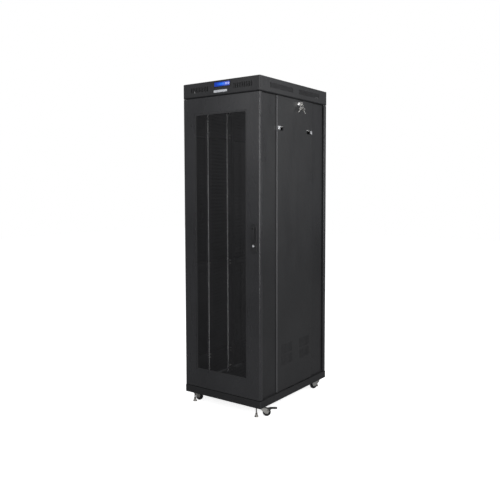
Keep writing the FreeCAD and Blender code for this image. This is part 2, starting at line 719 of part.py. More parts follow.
def key_slot(x, y0, z):
    """The slit that a key goes into, in the end of a plug that faces -Y."""
    return block(x - 1.2, x + 1.2, y0 - 1, y0 + 6, z - 4.5, z + 4.5)


def handle_lock_plug():
    y0 = FRONT_Y - HANDLE_BASE_T - 3.5
    plug = rod(PLUG_R, (HANDLE_X, y0, KEYWAY_Z), (HANDLE_X, FRONT_Y + 13.5, KEYWAY_Z))
    return plug.cut(key_slot(HANDLE_X, y0, KEYWAY_Z))


def rear_lock_rod(radius, y0, y1):
    """A round bar along the rear lock's axis, drawn on the front door."""
    return rod(radius, (REAR_LOCK_X, y0, REAR_LOCK_Z), (REAR_LOCK_X, y1, REAR_LOCK_Z))


def rear_lock_body():
    """The rear door's lock barrel, drawn on the front door and turned round."""
    end = FRONT_Y + REAR_BARREL_L
    head = rear_lock_rod(REAR_HEAD_R, FRONT_Y - REAR_HEAD_T, FRONT_Y)
    barrel = rear_lock_rod(REAR_BARREL_R, FRONT_Y, end)
    bore = rear_lock_rod(REAR_PLUG_R + RUNNING, FRONT_Y - REAR_HEAD_T - 1, end + 1)
    return turned(fuse([head, barrel]).cut(bore), 180)


def rear_lock_cam():
    """The rear lock's plug with its latch tongue."""
    y0 = FRONT_Y - REAR_HEAD_T - 0.5
    body = fuse([rear_lock_rod(REAR_PLUG_R, y0, CAM_Y), cam(REAR_LOCK_X, REAR_LOCK_Z)])
    return turned(body.cut(key_slot(REAR_LOCK_X, y0, REAR_LOCK_Z)), 180)


def side_panel(side):
    """A shallow tray with lower vents and latch slots, drawn on the right and mirrored."""
    t = PANEL_SHEET
    d = PANEL_HALF_D
    body = block(PANEL_INNER_X, PANEL_X, -d, d, PANEL_Z0, PANEL_Z1)
    body = body.makeFillet(PANEL_EDGE_R, edges_at(body, Z_AXIS, "X", PANEL_X))
    inside = block(PANEL_INNER_X - 1, PANEL_X - t, -d + t, d - t, PANEL_Z0 + t, PANEL_Z1 - t)
    inside = inside.makeFillet(PANEL_EDGE_R - t, edges_at(inside, Z_AXIS, "X", PANEL_X - t))
    bead_x = PANEL_X - PANEL_PIVOT_R
    bead_z = PANEL_Z0 + PANEL_PIVOT_R
    bead = rod(PANEL_PIVOT_R, (bead_x, -d + 2 * PANEL_EDGE_R, bead_z), (bead_x, d - 2 * PANEL_EDGE_R, bead_z))
    body = fuse([body.cut(inside), bead])
    cuts = []
    for centre in PANEL_VENT_Y:
        for y in slots(centre, PANEL_VENT_COUNT, VENT_PITCH):
            for z0, z1 in PANEL_VENT_ROWS:
                cuts.append(block(PANEL_X - 5, PANEL_X + 1, y - VENT_W / 2, y + VENT_W / 2, z0, z1))
    low = LATCH_Z - LATCH_SLOT_HALF_H
    high = LATCH_Z + LATCH_SLOT_HALF_H
    for end in (-1, 1):
        for y0, y1 in ((LATCH_SLOT[0], LATCH_SLOT_RIB[0]), (LATCH_SLOT_RIB[1], LATCH_SLOT[1])):
            cuts.append(block(PANEL_X - 5, PANEL_X + 1, end * y0, end * y1, low, high))
    cuts.append(side_lock_rod(PANEL_BARREL_R + 0.2, PANEL_X - 5, PANEL_X + 1))
    return mirrored(body.cut(group(cuts)), side, 1)


def side_lock_rod(radius, x0, x1):
    """A round bar along the right side lock's axis."""
    return rod(radius, (x0, PANEL_LOCK_Y, PANEL_LOCK_Z), (x1, PANEL_LOCK_Y, PANEL_LOCK_Z))


def side_lock_body(side):
    barrel = side_lock_rod(PANEL_BARREL_R, PANEL_BARREL_X0, PANEL_X)
    head = side_lock_rod(PANEL_HEAD_R, PANEL_X, PANEL_X + PANEL_HEAD_T)
    bore = side_lock_rod(PANEL_PLUG_R + RUNNING, PANEL_BARREL_X0 - 1, PANEL_X + PANEL_HEAD_T + 1)
    return mirrored(fuse([barrel, head]).cut(bore), side, 1)


def side_lock_plug(side):
    """The side lock's plug with its tongue, which points to the rear while the lock is open."""
    x0 = PANEL_TONGUE_X0
    x1 = x0 + PANEL_TONGUE_T
    face = PANEL_X + PANEL_PLUG_OUT
    y = PANEL_LOCK_Y
    plug = side_lock_rod(PANEL_PLUG_R, x0, face)
    hub = side_lock_rod(PANEL_PLUG_R + 2, x0, x1)
    half = PANEL_PLUG_R
    tongue = block(x0, x1, y, y + PANEL_TONGUE_REACH, PANEL_LOCK_Z - half, PANEL_LOCK_Z + half)
    slit = block(PANEL_X - KEY_DEPTH - 0.2, face + 1, y - KEY_SLIT_HALF, y + KEY_SLIT_HALF,
                 PANEL_LOCK_Z - KEY_SHANK_HALF_H - 0.5, PANEL_LOCK_Z + KEY_SHANK_HALF_H + 0.5)
    return mirrored(fuse([plug, hub, tongue]).cut(slit), side, 1)


def slide_latch(side, end):
    """A flat bolt behind the panel with a finger tab through its slot, drawn at the rear right."""
    half = LATCH_TAB_HALF_H
    x0, x1 = LATCH_BOLT_X
    face = PANEL_X + LATCH_TAB_GAP
    tab_x1 = face + LATCH_TAB_T
    slim = LATCH_BOLT_HALF_H
    bolt = block(x0, x1, LATCH_LINK[0], LATCH_BOLT_TIP, LATCH_Z - slim, LATCH_Z + slim)
    link = block(x0, tab_x1, LATCH_LINK[0], LATCH_LINK[1], LATCH_Z - half, LATCH_Z + half)
    tab = block(face, tab_x1, LATCH_TAB[0], LATCH_TAB[1], LATCH_Z - half, LATCH_Z + half)
    return mirrored(fuse([bolt, link, tab]), side, end)


def key(shank):
    """A flat key across the cabinet: the hole in its bow at the origin and its shank towards -X."""
    bow_x = -KEY_HOLE_INSET
    tip = bow_x - KEY_BOW_R - shank
    blade = block(tip, bow_x, -KEY_T / 2, KEY_T / 2, -KEY_SHANK_HALF_H, KEY_SHANK_HALF_H)
    bow = rod(KEY_BOW_R, (bow_x, -KEY_T / 2, 0), (bow_x, KEY_T / 2, 0))
    hole = rod(KEY_HOLE_R, (0, -KEY_T, 0), (0, KEY_T, 0))
    return fuse([blade, bow]).cut(hole)


def key_hole_x():
    """The level, beside the panel, of the hole in the bow of the key that is in the lock."""
    return PANEL_X - KEY_DEPTH + KEY_SHANK_SHORT + KEY_BOW_R + KEY_HOLE_INSET


def key_in_lock():
    body = key(KEY_SHANK_SHORT)
    body.translate(FreeCAD.Vector(key_hole_x(), PANEL_LOCK_Y, PANEL_LOCK_Z))
    return body


def spare_keys():
    """The split ring through the first key's bow, with two more keys hanging apart on it."""
    pieces = [Part.makeTorus(RING_R, RING_WIRE_R, ORIGIN, X_AXIS)]
    for lean in SPARE_KEY_LEAN:
        spare = key(KEY_SHANK_LONG)
        spare.rotate(ORIGIN, Y_AXIS, -90)
        spare.translate(FreeCAD.Vector(0, 0, -RING_R - RING_SEAT))
        spare.rotate(ORIGIN, X_AXIS, lean)
        pieces.append(spare)
    centre = FreeCAD.Vector(key_hole_x(), PANEL_LOCK_Y, PANEL_LOCK_Z - RING_SEAT - RING_R)
    for piece in pieces:
        piece.translate(centre)
    return group(pieces)


def caster_place(name):
    side, end, angle = CASTERS[name]
    return side * CASTER_X, end * CASTER_Y, angle


def placed_caster(shape, name):
    """Moves a piece drawn trailing in +X about the origin to its caster."""
    x, y, angle = caster_place(name)
    copy = shape.copy()
    copy.rotate(ORIGIN, Z_AXIS, angle)
    copy.translate(FreeCAD.Vector(x, y, 0))
    return copy


def caster_plates():
    plates = []
    for name in CASTERS:
        plate = block(-24, 24, -24, 24, FLOOR_GAP - 3, FLOOR_GAP)
        plate = plate.makeFillet(5.0, edges_along(plate, Z_AXIS))
        race = rod(21.0, (0, 0, FLOOR_GAP - 7.5), (0, 0, FLOOR_GAP - 3))
        body = fuse([plate, race]).cut(rod(KINGPIN_R + RUNNING, (0, 0, 0), (0, 0, FLOOR_GAP + 1)))
        x, y, _ = caster_place(name)
        body.translate(FreeCAD.Vector(x, y, 0))
        plates.append(body)
    return group(plates)


def caster_fork(name):
    head_z = FLOOR_GAP - 8.0
    px, pz = PEDAL_AXIS
    head = rod(20.0, (0, 0, head_z - 4), (0, 0, head_z))
    kingpin = rod(KINGPIN_R, (0, 0, head_z - 1), (0, 0, FLOOR_GAP - 0.5))
    pieces = [head, kingpin]
    for side in (-1, 1):
        y = side * LEG_GAP
        outline = [
            (-14, y, head_z), (px + 6, y, pz + 6), (px + 6, y, pz - 6),
            (CASTER_TRAIL + 7, y, WHEEL_R - 7), (CASTER_TRAIL - 7, y, WHEEL_R - 7), (-14, y, head_z - 12),
        ]
        pieces.append(prism(outline, (0, side * LEG_T, 0)))
        if name in BRAKED:
            pieces.append(rod(PEDAL_PIN_R, (px, y + side, pz), (px, y + side * (LEG_T + EAR_T + 1), pz)))
    half = LEG_GAP + LEG_T
    if name not in BRAKED:
        half += EAR_T
    pieces.append(rod(AXLE_R, (CASTER_TRAIL, -half, WHEEL_R), (CASTER_TRAIL, half, WHEEL_R)))
    return placed_caster(fuse(pieces), name)


def caster_wheel(name):
    x = CASTER_TRAIL
    z = WHEEL_R
    wheel = rod(WHEEL_R, (x, -WHEEL_HALF_W, z), (x, WHEEL_HALF_W, z))
    rims = [e for e in wheel.Edges if len(e.Vertexes) == 1]
    wheel = wheel.makeFillet(3.0, rims)
    bore = rod(AXLE_R + RUNNING, (x, -WHEEL_HALF_W - 1, z), (x, WHEEL_HALF_W + 1, z))
    return placed_caster(wheel.cut(bore), name)


def caster_brake(name):
    """A pedal on two ears that hang outside the fork's legs."""
    px, pz = PEDAL_AXIS
    ear_y = LEG_GAP + LEG_T + EAR_GAP
    half = ear_y + EAR_T
    plate = block(px + 8, PEDAL_REACH, -half, half, pz + 7, pz + 7 + PEDAL_T)
    plate = plate.makeFillet(6.0, edges_at(plate, Z_AXIS, "X", PEDAL_REACH))
    pieces = [plate]
    for side in (-1, 1):
        y = side * ear_y
        outline = [
            (px - 5, y, pz - 5), (px + 5, y, pz - 5), (px + 18, y, pz + 8),
            (px + 5, y, pz + 8), (px - 5, y, pz + 4),
        ]
        pieces.append(prism(outline, (0, side * EAR_T, 0)))
    bore = rod(PEDAL_PIN_R + RUNNING, (px, -half - 1, pz), (px, half + 1, pz))
    return placed_caster(fuse(pieces).cut(bore), name)


def levelling_foot(side, end):
    x = side * FOOT_X
    y = end * FOOT_Y
    pad = Part.makeCone(PAD_R, STEM_R + 2, PAD_H, FreeCAD.Vector(x, y, 0))
    hexa = hexagon(HEX_AF, x, y, PAD_H + 1, PAD_H + 7)
    stem = rod(STEM_R, (x, y, PAD_H - 2), (x, y, BASE_TOP - 22))
    return fuse([pad, stem, hexa])


def foot_lock_nuts():
    nuts = []
    for side in (-1, 1):
        for end in (-1, 1):
            x = side * FOOT_X
            y = end * FOOT_Y
            nut = hexagon(HEX_AF, x, y, FLOOR_GAP - 6.5, FLOOR_GAP)
            nuts.append(nut.cut(rod(STEM_R + RUNNING, (x, y, 0), (x, y, FLOOR_GAP + 1))))
    return group(nuts)


def save(name, shape):
    if not shape.isValid():
        print("not valid:", name)
    shape.exportStep(os.path.join("parts", name + ".step"))


def main():
    os.makedirs("parts", exist_ok=True)
    save("base_frame", base_frame())
    save("floor_panel", floor_panel())
    save("cable_entry_covers", cable_entry_covers())
    save("top_frame", top_frame())
    save("roof_cap", roof_cap())
    save("display_bezel", display_bezel())
    save("display_window", display_window())
    save("badge_plate", badge_plate())
    save("fan_frame", fan_frame())
    save("fan_impeller", fan_impeller())
    save("depth_bars", depth_bars())
    save("frame_bolts", frame_bolts())
    save("door_hinge_pins", door_hinge_pins())
    save("caster_plates", caster_plates())
    save("foot_lock_nuts", foot_lock_nuts())
    front_holes = [(HANDLE_X, PIVOT_Z, BOSS_HEAD_R + 1), (HANDLE_X, KEYWAY_Z, BARREL_R + 0.3)]
    save("front_door_frame", door_frame(front_holes))
    save("front_door_mesh", door_mesh())
    save("handle_base", handle_base())
    save("handle_boss", handle_boss())
    save("handle_lever", handle_lever())
    save("handle_cam", handle_cam())
    save("handle_lock_plug", handle_lock_plug())
    rear_holes = [(REAR_LOCK_X, REAR_LOCK_Z, REAR_BARREL_R + 0.3)]
    save("rear_door_frame", turned(door_frame(rear_holes), 180))
    save("rear_door_mesh", turned(door_mesh(), 180))
    save("rear_lock_body", rear_lock_body())
    save("rear_lock_cam", rear_lock_cam())
    save("key_in_lock", key_in_lock())
    save("spare_keys", spare_keys())
    for side_name, side in (("left", -1), ("right", 1)):
        save("mounting_rail_front_" + side_name, mounting_rail(side, RAIL_FRONT_Y, -1))
        save("mounting_rail_rear_" + side_name, mounting_rail(side, RAIL_REAR_Y, 1))
        save("side_panel_" + side_name, side_panel(side))
        save("side_lock_body_" + side_name, side_lock_body(side))
        save("side_lock_plug_" + side_name, side_lock_plug(side))
        for end_name, end in (("front", -1), ("rear", 1)):
            corner = end_name + "_" + side_name
            save("corner_post_" + corner, corner_post(side, end))
            save("slide_latch_" + corner, slide_latch(side, end))
            save("levelling_foot_" + corner, levelling_foot(side, end))
    for name in CASTERS:
        save("caster_fork_" + name, caster_fork(name))
        save("caster_wheel_" + name, caster_wheel(name))
    for name in BRAKED:
        save("caster_brake_" + name, caster_brake(name))


main()
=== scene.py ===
import json
import math

import bmesh
import bpy
from mathutils import Matrix, Vector


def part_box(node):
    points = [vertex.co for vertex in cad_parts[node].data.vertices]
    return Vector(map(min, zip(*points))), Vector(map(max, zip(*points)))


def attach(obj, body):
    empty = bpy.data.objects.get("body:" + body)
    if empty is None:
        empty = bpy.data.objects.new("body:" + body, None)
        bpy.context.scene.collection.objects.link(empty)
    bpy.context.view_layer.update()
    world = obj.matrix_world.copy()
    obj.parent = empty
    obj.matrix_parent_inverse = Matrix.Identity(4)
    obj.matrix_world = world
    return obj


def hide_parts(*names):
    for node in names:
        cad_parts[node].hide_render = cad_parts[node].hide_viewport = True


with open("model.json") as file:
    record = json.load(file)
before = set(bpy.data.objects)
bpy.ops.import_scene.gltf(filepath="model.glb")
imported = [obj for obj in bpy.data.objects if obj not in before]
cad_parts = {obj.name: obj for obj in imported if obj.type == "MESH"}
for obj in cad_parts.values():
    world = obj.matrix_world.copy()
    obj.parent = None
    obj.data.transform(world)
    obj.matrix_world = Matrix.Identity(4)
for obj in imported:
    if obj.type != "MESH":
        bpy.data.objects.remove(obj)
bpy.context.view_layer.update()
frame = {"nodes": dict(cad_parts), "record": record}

MM = 0.001
CORNERS = ("front_left", "front_right", "rear_left", "rear_right")
SIDES = ("left", "right")


# ---------------------------------------------------------------- materials

class Shader:
    """A Principled material with a few helpers that add the nodes for its colour, roughness and relief."""

    def __init__(self, name, **fixed):
        self.material = bpy.data.materials.new(name)
        self.material.use_nodes = True
        tree = self.material.node_tree
        self.nodes = tree.nodes
        self.links = tree.links
        self.nodes.clear()
        self.bsdf = self.nodes.new("ShaderNodeBsdfPrincipled")
        output = self.nodes.new("ShaderNodeOutputMaterial")
        self.links.new(self.bsdf.outputs["BSDF"], output.inputs["Surface"])
        self.place = self.nodes.new("ShaderNodeTexCoord").outputs["Object"]
        for socket, value in fixed.items():
            self.bsdf.inputs[socket.replace("_", " ")].default_value = value

    def stretched(self, scale):
        mapping = self.nodes.new("ShaderNodeMapping")
        mapping.inputs["Scale"].default_value = scale
        self.links.new(self.place, mapping.inputs["Vector"])
        return mapping.outputs["Vector"]

    def noise(self, scale, detail=3.0, rough=0.55, vector=None):
        node = self.nodes.new("ShaderNodeTexNoise")
        node.inputs["Scale"].default_value = scale
        node.inputs["Detail"].default_value = detail
        node.inputs["Roughness"].default_value = rough
        self.links.new(vector or self.place, node.inputs["Vector"])
        return node.outputs["Fac"]

    def remap(self, value, low, high, start=0.3, end=0.7):
        node = self.nodes.new("ShaderNodeMapRange")
        node.inputs["From Min"].default_value = start
        node.inputs["From Max"].default_value = end
        node.inputs["To Min"].default_value = low
        node.inputs["To Max"].default_value = high
        self.links.new(value, node.inputs["Value"])
        return node.outputs["Result"]

    def blend(self, factor, first, second):
        """Mixes two colours, each a socket or an RGB triple."""
        node = self.nodes.new("ShaderNodeMix")
        node.data_type = "RGBA"
        self.links.new(factor, node.inputs["Factor"])
        for socket, colour in ((node.inputs[6], first), (node.inputs[7], second)):
            if isinstance(colour, bpy.types.NodeSocket):
                self.links.new(colour, socket)
            else:
                socket.default_value = (*colour, 1.0)
        return node.outputs[2]

    def colour(self, socket):
        self.links.new(socket, self.bsdf.inputs["Base Color"])

    def roughness(self, socket):
        self.links.new(socket, self.bsdf.inputs["Roughness"])

    def relief(self, height, strength, distance, edge=None):
        """Bump from a height, over edges that the light rounds by the radius edge."""
        bump = self.nodes.new("ShaderNodeBump")
        bump.inputs["Strength"].default_value = strength
        bump.inputs["Distance"].default_value = distance
        self.links.new(height, bump.inputs["Height"])
        if edge:
            bevel = self.nodes.new("ShaderNodeBevel")
            bevel.samples = 4
            bevel.inputs["Radius"].default_value = edge
            self.links.new(bevel.outputs["Normal"], bump.inputs["Normal"])
        self.links.new(bump.outputs["Normal"], self.bsdf.inputs["Normal"])


def front_level(node):
    """How far forward a CAD piece reaches, in its own coordinates."""
    return min(v.co.y for v in frame["nodes"][node].data.vertices)


def powder_coat(name, colour, rough=0.42, specular=0.4, edge=0.9 * MM, hem=None):
    """Fine-textured powder coat on sheet steel, with faint clouding and a slightly uneven gloss.
    In front of the level hem, the coat on the folded edge is painted lighter, as a painted highlight along the bend."""
    s = Shader(name, Specular_IOR_Level=specular)
    cloud = s.noise(2.6, detail=4.0)
    darker = tuple(c * 0.82 for c in colour)
    lighter = tuple(c * 1.2 for c in colour)
    base = s.blend(s.remap(cloud, 0.0, 1.0), darker, lighter)
    speck = s.remap(s.noise(900.0, detail=1.0), 0.0, 1.0, 0.56, 0.74)
    top = s.blend(speck, base, tuple(min(1.0, c * 1.9 + 0.004) for c in colour))
    if hem is not None:
        split = s.nodes.new("ShaderNodeSeparateXYZ")
        s.links.new(s.place, split.inputs["Vector"])
        # Painted highlight: the folded edge in front of the hem level is painted 4.5 times lighter
        painted_highlight = s.remap(split.outputs["Y"], 1.0, 0.0, hem - 1.0 * MM, hem)
        top = s.blend(painted_highlight, top, tuple(c * 4.5 for c in colour))
    s.colour(top)
    smear = s.noise(1.0, detail=5.0, vector=s.stretched((9.0, 9.0, 2.0)))
    s.roughness(s.remap(smear, rough - 0.06, rough + 0.08))
    s.relief(s.noise(1300.0, detail=2.0), 0.22, 0.12 * MM, edge)
    return s.material


def rail_coat(name, axis, start, end, highlight_colour):
    """The rails' black coat with one edge painted bright as a painted highlight, between two levels of an axis
    (distance from the middle).
    """
    s = Shader(name, Specular_IOR_Level=0.45)
    split = s.nodes.new("ShaderNodeSeparateXYZ")
    s.links.new(s.place, split.inputs["Vector"])
    level = split.outputs[axis]
    if axis == "X":
        distance = s.nodes.new("ShaderNodeMath")
        distance.operation = "ABSOLUTE"
        s.links.new(level, distance.inputs[0])
        level = distance.outputs[0]
    # Painted highlight: the edge between the two levels is painted near-white
    highlight_mask = s.remap(level, 1.0, 0.0, start, end)
    coat = s.blend(s.remap(s.noise(3.0, detail=4.0), 0.0, 1.0), (0.020, 0.020, 0.022), (0.032, 0.032, 0.034))
    highlight_tone = s.blend(s.remap(s.noise(60.0), 0.0, 1.0), highlight_colour, tuple(c * 0.8 for c in highlight_colour))
    s.colour(s.blend(highlight_mask, coat, highlight_tone))
    s.roughness(s.remap(s.noise(40.0, detail=4.0), 0.32, 0.44))
    s.relief(s.noise(1300.0, detail=2.0), 0.2, 0.1 * MM, 0.5 * MM)
    return s.material


def plated(name, colour, tint, rough, grain):
    """Zinc or nickel plate: bright metal with a fine grain and patches that are warmer and duller."""
    s = Shader(name, Metallic=1.0)
    patch = s.remap(s.noise(38.0, detail=4.0), 0.0, 1.0)
    s.colour(s.blend(patch, colour, tint))
    lines = s.noise(1.0, detail=2.0, vector=s.stretched(grain))
    s.roughness(s.remap(lines, rough * 0.7, rough * 1.45))
    s.relief(lines, 0.12, 0.05 * MM, 0.35 * MM)
    return s.material


def moulded(name, colour, rough, grain=700.0, strength=0.25, specular=0.4, edge=0.5 * MM):
    """Moulded plastic with a spark-eroded grain."""
    s = Shader(name, Specular_IOR_Level=specular)
    tone = s.remap(s.noise(12.0), 0.0, 1.0)
    s.colour(s.blend(tone, tuple(c * 0.8 for c in colour), tuple(c * 1.25 for c in colour)))
    s.roughness(s.remap(s.noise(60.0, detail=4.0), rough - 0.05, rough + 0.1))
    s.relief(s.noise(grain, detail=3.0), strength, 0.1 * MM, edge)
    return s.material


def polished(name, colour, rough=0.09):
    """Chrome with faint smudges."""
    s = Shader(name, Metallic=1.0)
    smudge = s.noise(55.0, detail=5.0)
    s.colour(s.blend(s.remap(smudge, 0.0, 1.0), colour, tuple(c * 0.86 for c in colour)))
    s.roughness(s.remap(smudge, rough * 0.6, rough * 2.2))
    s.relief(s.noise(240.0), 0.05, 0.03 * MM, 0.3 * MM)
    return s.material


def lit_screen(name, low, high):
    """The display's backlit film: bright blue, a little deeper towards its edges."""
    s = Shader(name, Roughness=0.12, Emission_Strength=0.5)
    middle = (low + high) / 2
    half = (high - low) / 2
    shift = s.nodes.new("ShaderNodeMapping")
    shift.inputs["Location"].default_value = (-middle.x / half.x, 0.0, -middle.z / half.z)
    shift.inputs["Scale"].default_value = (1 / half.x, 0.0, 1 / half.z)
    s.links.new(s.place, shift.inputs["Vector"])
    ball = s.nodes.new("ShaderNodeTexGradient")
    ball.gradient_type = "QUADRATIC_SPHERE"
    s.links.new(shift.outputs["Vector"], ball.inputs["Vector"])
    glow = s.remap(ball.outputs["Fac"], 0.0, 1.0, 0.0, 0.6)
    tint = s.blend(glow, (0.003, 0.030, 0.30), (0.008, 0.13, 0.70))
    s.colour(tint)
    s.links.new(tint, s.bsdf.inputs["Emission Color"])
    s.relief(s.noise(400.0), 0.03, 0.02 * MM)
    return s.material


def lit_digit(name):
    s = Shader(name, Roughness=0.3, Emission_Strength=0.85)
    tint = s.blend(s.remap(s.noise(300.0), 0.0, 1.0), (0.62, 0.66, 1.0), (0.74, 0.78, 1.0))
    s.colour(tint)
    s.links.new(tint, s.bsdf.inputs["Emission Color"])
    return s.material


COAT_DOOR = powder_coat("coat_door", (0.0215, 0.0215, 0.0230), rough=0.27)
COAT_ROOF = powder_coat("coat_roof", (0.0140, 0.0140, 0.0150))
# The side panels' and front posts' folded front edges carry a painted highlight in front of the hem level
COAT_PANEL = powder_coat("coat_panel", (0.0140, 0.0140, 0.0147), rough=0.36, specular=0.4,
                         hem=front_level("side_panel_right") + 4.5 * MM)
COAT_POST = powder_coat("coat_post", (0.0130, 0.0130, 0.0138), rough=0.32,
                        hem=front_level("corner_post_front_right") + 6.5 * MM)
COAT_FRAME = powder_coat("coat_frame", (0.0150, 0.0150, 0.0160), rough=0.5)
COAT_BASE = powder_coat("coat_base", (0.0120, 0.0120, 0.0128), rough=0.45)
COAT_MESH = powder_coat("coat_mesh", (0.0210, 0.0210, 0.0222), rough=0.4, edge=None)
# The rails' front edges carry a painted highlight in near-white
RAIL_FRONT = rail_coat("coat_rail_front", "X", 0.2335, 0.2350, (0.85, 0.85, 0.86))
RAIL_REAR = rail_coat("coat_rail_rear", "Y", -0.0100, -0.0085, (0.85, 0.85, 0.86))
ZINC = plated("zinc_plate", (0.46, 0.46, 0.45), (0.34, 0.33, 0.30), 0.34, (160.0, 160.0, 900.0))
NICKEL = plated("nickel_plate", (0.95, 0.94, 0.91), (0.84, 0.82, 0.78), 0.42, (900.0, 300.0, 200.0))
CHROME = polished("chrome", (0.92, 0.92, 0.93), rough=0.2)
BADGE = plated("badge_metal", (0.66, 0.67, 0.69), (0.56, 0.57, 0.60), 0.32, (60.0, 400.0, 2600.0))
PAD_FOAM = moulded("filter_foam", (0.045, 0.045, 0.047), 0.8, grain=900.0, strength=0.9, specular=0.2, edge=None)
RIM_GREY = moulded("wheel_rim", (0.022, 0.022, 0.023), 0.5, specular=0.25)
FORK_ZINC = plated("fork_zinc", (0.62, 0.62, 0.60), (0.46, 0.45, 0.42), 0.36, (160.0, 160.0, 900.0))
FOOT_ZINC = plated("foot_zinc", (0.27, 0.26, 0.24), (0.20, 0.19, 0.17), 0.5, (160.0, 160.0, 900.0))
HANDLE_BLACK = moulded("handle_black", (0.016, 0.016, 0.017), 0.36)
PEDAL_BLACK = moulded("pedal_black", (0.020, 0.020, 0.021), 0.45)
FAN_BLACK = moulded("fan_black", (0.014, 0.014, 0.015), 0.48)
BEZEL_BLACK = moulded("bezel_black", (0.008, 0.008, 0.009), 0.14, grain=1500.0, strength=0.05, specular=0.5)
TREAD = moulded("wheel_tread", (0.009, 0.009, 0.010), 0.62, grain=500.0, strength=0.5, specular=0.25)

CAD_FINISH = {
    "base_frame": COAT_BASE,
    "floor_panel": COAT_FRAME,
    "cable_entry_covers": COAT_ROOF,
    "top_frame": COAT_FRAME,
    "roof_cap": COAT_ROOF,
    "display_bezel": BEZEL_BLACK,
    "display_window": BEZEL_BLACK,
    "badge_plate": BADGE,
    "fan_frame": FAN_BLACK,
    "fan_impeller": FAN_BLACK,
    "depth_bars": COAT_FRAME,
    "frame_bolts": ZINC,
    "door_hinge_pins": ZINC,
    "caster_plates": ZINC,
    "foot_lock_nuts": ZINC,
    "front_door_frame": COAT_DOOR,
    "rear_door_frame": COAT_DOOR,
    "handle_base": HANDLE_BLACK,
    "handle_boss": HANDLE_BLACK,
    "handle_lever": HANDLE_BLACK,
    "handle_cam": ZINC,
    "handle_lock_plug": CHROME,
    "rear_lock_body": CHROME,
    "rear_lock_cam": CHROME,
    "key_in_lock": NICKEL,
    "spare_keys": NICKEL,
}
for side in SIDES:
    CAD_FINISH["mounting_rail_front_" + side] = RAIL_FRONT
    CAD_FINISH["mounting_rail_rear_" + side] = RAIL_REAR
    CAD_FINISH["side_panel_" + side] = COAT_PANEL
    CAD_FINISH["side_lock_body_" + side] = CHROME
    CAD_FINISH["side_lock_plug_" + side] = CHROME
for corner in CORNERS:
    CAD_FINISH["corner_post_" + corner] = COAT_POST
    CAD_FINISH["slide_latch_" + corner] = CHROME
    CAD_FINISH["levelling_foot_" + corner] = FOOT_ZINC
    CAD_FINISH["caster_fork_" + corner] = FORK_ZINC
    CAD_FINISH["caster_wheel_" + corner] = TREAD
    CAD_FINISH["caster_brake_" + corner] = PEDAL_BLACK

for node, cad_object in frame["nodes"].items():
    if node in CAD_FINISH:
        cad_object.data.materials.clear()
        cad_object.data.materials.append(CAD_FINISH[node])


# ---------------------------------------------------------------- mesh helpers

def add_piece(name, mesh, material, body, replaces=(), smooth=None):
    """Makes a finished piece of the object from a mesh, says what it rides on, and hides the CAD parts it stands for.
    """
    piece = bpy.data.objects.new(name, mesh)
    bpy.context.scene.collection.objects.link(piece)
    mesh.materials.append(material)
    if smooth is not None:
        mesh.polygons.foreach_set("use_smooth", [True] * len(mesh.polygons))
        mesh.set_sharp_from_angle(angle=math.radians(smooth))
    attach(piece, body)
    if replaces:
        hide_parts(*replaces)
    return piece


def mesh_from(name, points, faces):
    mesh = bpy.data.meshes.new(name)
    mesh.from_pydata(points, [], faces)
    mesh.validate()
    mesh.update()
    return mesh


def flat_normals_out(mesh):
    bm = bmesh.new()
    bm.from_mesh(mesh)
    bmesh.ops.recalc_face_normals(bm, faces=bm.faces)
    bm.to_mesh(mesh)
    bm.free()
    return mesh


